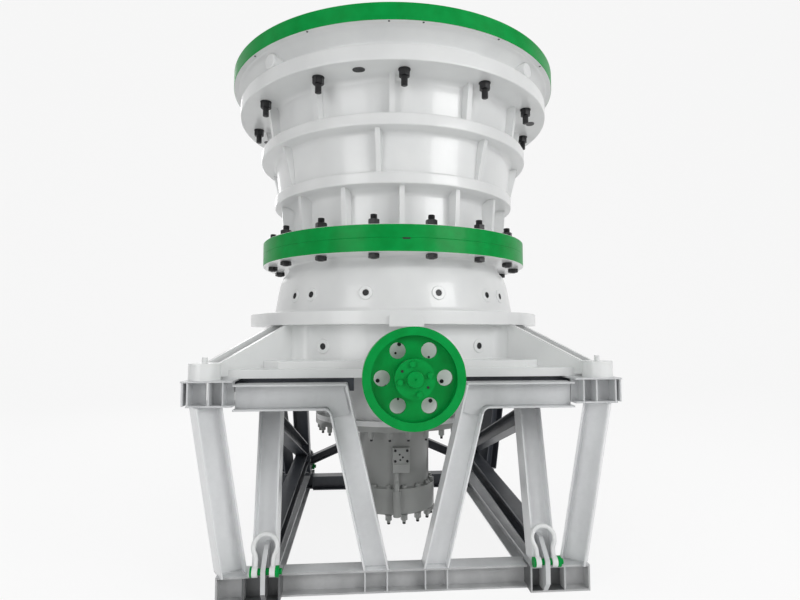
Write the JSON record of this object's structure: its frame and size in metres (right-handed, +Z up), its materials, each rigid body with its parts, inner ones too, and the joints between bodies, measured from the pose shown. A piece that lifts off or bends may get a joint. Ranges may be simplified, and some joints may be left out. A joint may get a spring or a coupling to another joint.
{
  "type": "gyratory crusher",
  "caption": "Gyratory crusher: a flanged, flaring shell under a spider ring, with a front drive wheel, a central hydraulic cylinder and a welded stand with bow shackles.",
  "frame": {"origin": "on the crusher's vertical axis, at the ground that the stand rests on", "axes": "+Z up along the crusher's axis, -Y towards the drive wheel, +X to the right seen from the wheel"},
  "size_m": [3.45, 4.044, 4.77],
  "materials": {
    "casting_white": "gloss white paint on castings",
    "stand_white": "satin pale grey paint on rolled steel",
    "signal_green": "gloss green paint",
    "black_bolts": "black oxide bolts and nuts",
    "bare_steel": "machined steel",
    "liner_iron": "cast manganese steel liners"
  },
  "bodies": {
    "crusher_and_stand": {"spider_ring": "casting_white", "spider_bridge": "casting_white", "spider_cap": "casting_white", "top_shell": "casting_white", "joint_collar": "casting_white", "bottom_shell": "casting_white", "base_ring": "casting_white", "base_frame": "casting_white", "concave_liner": "liner_iron", "mantle": "liner_iron", "main_shaft": "bare_steel", "centre_hub": "casting_white", "cylinder_head": "casting_white", "lift_cylinder": "casting_white", "cylinder_cover": "casting_white", "manifold_block": "casting_white", "oil_pipe": "casting_white", "countershaft_housing": "casting_white", "top_joint_studs": "black_bolts", "shell_joint_bolts": "black_bolts", "front_bottom_rail": "stand_white", "back_bottom_rail": "stand_white", "side_bottom_rails": "stand_white", "bottom_corner_blocks": "stand_white", "front_top_beams": "stand_white", "back_top_beam": "stand_white", "side_top_beams": "stand_white", "top_corner_pads": "stand_white", "corner_legs": "stand_white", "front_inner_legs": "stand_white", "side_posts": "stand_white", "side_braces_upper": "stand_white", "side_braces_lower": "stand_white", "back_brace": "stand_white", "back_brace_halves": "stand_white"},
    "drive_shaft": {"countershaft": "bare_steel", "drive_wheel": "signal_green", "wheel_hub": "signal_green"},
    "front_left_shackle": {"front_left_shackle_bow": "casting_white", "front_left_shackle_pin": "signal_green"},
    "front_right_shackle": {"front_right_shackle_bow": "casting_white", "front_right_shackle_pin": "signal_green"},
    "back_left_shackle": {"back_left_shackle_bow": "casting_white", "back_left_shackle_pin": "signal_green"},
    "back_right_shackle": {"back_right_shackle_bow": "casting_white", "back_right_shackle_pin": "signal_green"}
  },
  "joints": [
    {"name": "drive_shaft_spin", "type": "hinge", "parent": "crusher_and_stand", "child": "drive_shaft", "pos_m": [0, -2.142, 1.73], "axis": [0, -1, 0], "continuous": true},
    {"name": "front_left_shackle_swing", "type": "hinge", "parent": "crusher_and_stand", "child": "front_left_shackle", "pos_m": [-1.095, -1.652, 0.243], "axis": [1, 0, 0], "range_deg": [0, 105]},
    {"name": "front_right_shackle_swing", "type": "hinge", "parent": "crusher_and_stand", "child": "front_right_shackle", "pos_m": [1.095, -1.652, 0.243], "axis": [1, 0, 0], "range_deg": [0, 105]},
    {"name": "back_left_shackle_swing", "type": "hinge", "parent": "crusher_and_stand", "child": "back_left_shackle", "pos_m": [-1.095, 1.652, 0.243], "axis": [-1, 0, 0], "range_deg": [0, 105]},
    {"name": "back_right_shackle_swing", "type": "hinge", "parent": "crusher_and_stand", "child": "back_right_shackle", "pos_m": [1.095, 1.652, 0.243], "axis": [-1, 0, 0], "range_deg": [0, 105]}
  ]
}
